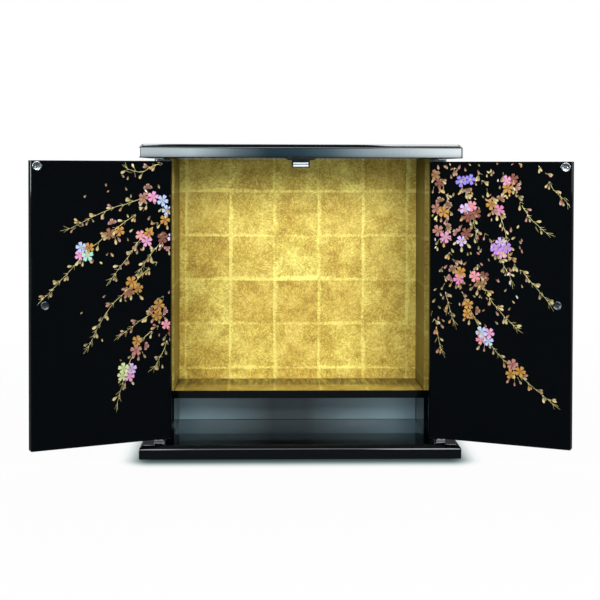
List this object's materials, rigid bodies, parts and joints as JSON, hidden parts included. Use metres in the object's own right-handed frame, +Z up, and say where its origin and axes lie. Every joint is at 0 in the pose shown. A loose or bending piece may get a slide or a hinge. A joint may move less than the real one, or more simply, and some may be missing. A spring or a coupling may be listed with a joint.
{
  "type": "household altar cabinet",
  "caption": "Compact black lacquer household altar cabinet with a gold-leafed alcove, a shallow lower recess and hinged doors with blossom pictures.",
  "frame": {"origin": "centre of the base board's underside", "axes": "+X to the viewer's right along the boards, +Y from the front to the back, +Z up"},
  "size_m": [1.137, 0.4003, 0.683],
  "materials": {
    "black_lacquer": "mirror-polished black lacquer; the doors' inner faces carry blossom pictures in gold, bronze, pink, lilac and pale shell colours",
    "satin_black": "satin black lacquer",
    "gold_leaf": "gold leaf laid in squares with overlapping seams; the shelf's front edge is black lacquer",
    "steel": "plated steel",
    "black_plastic": "black moulded plastic"
  },
  "bodies": {
    "cabinet": {"base_board": "black_lacquer", "top_board": "black_lacquer", "back_board": "black_lacquer", "shelf_board": "gold_leaf", "side_panel_left": "black_lacquer", "alcove_side_left": "gold_leaf", "recess_side_left": "black_lacquer", "side_panel_right": "black_lacquer", "alcove_side_right": "gold_leaf", "recess_side_right": "black_lacquer", "alcove_back": "gold_leaf", "recess_back": "satin_black", "catch_housing": "black_plastic", "catch_pole_lower": "steel", "catch_pole_upper": "steel"},
    "left_door": {"door_left": "black_lacquer", "hinge_upper_left": "steel", "hinge_screw_upper_left_tip": "steel", "hinge_screw_upper_left_arm": "steel", "hinge_lower_left": "steel", "hinge_screw_lower_left_tip": "steel", "hinge_screw_lower_left_arm": "steel", "strike_left": "steel", "strike_screw_left": "steel", "pull_cap_left": "steel", "pull_left": "steel"},
    "right_door": {"door_right": "black_lacquer", "hinge_upper_right": "steel", "hinge_screw_upper_right_tip": "steel", "hinge_screw_upper_right_arm": "steel", "hinge_lower_right": "steel", "hinge_screw_lower_right_tip": "steel", "hinge_screw_lower_right_arm": "steel", "strike_right": "steel", "strike_screw_right": "steel", "pull_cap_right": "steel", "pull_right": "steel"}
  },
  "joints": [
    {"name": "left_door_hinge", "type": "hinge", "parent": "cabinet", "child": "left_door", "pos_m": [-0.296, -0.1225, 0.34475], "axis": [0, 0, 1], "range_deg": [-34, 156]},
    {"name": "right_door_hinge", "type": "hinge", "parent": "cabinet", "child": "right_door", "pos_m": [0.296, -0.1225, 0.34475], "axis": [0, 0, -1], "range_deg": [-34, 156]}
  ]
}
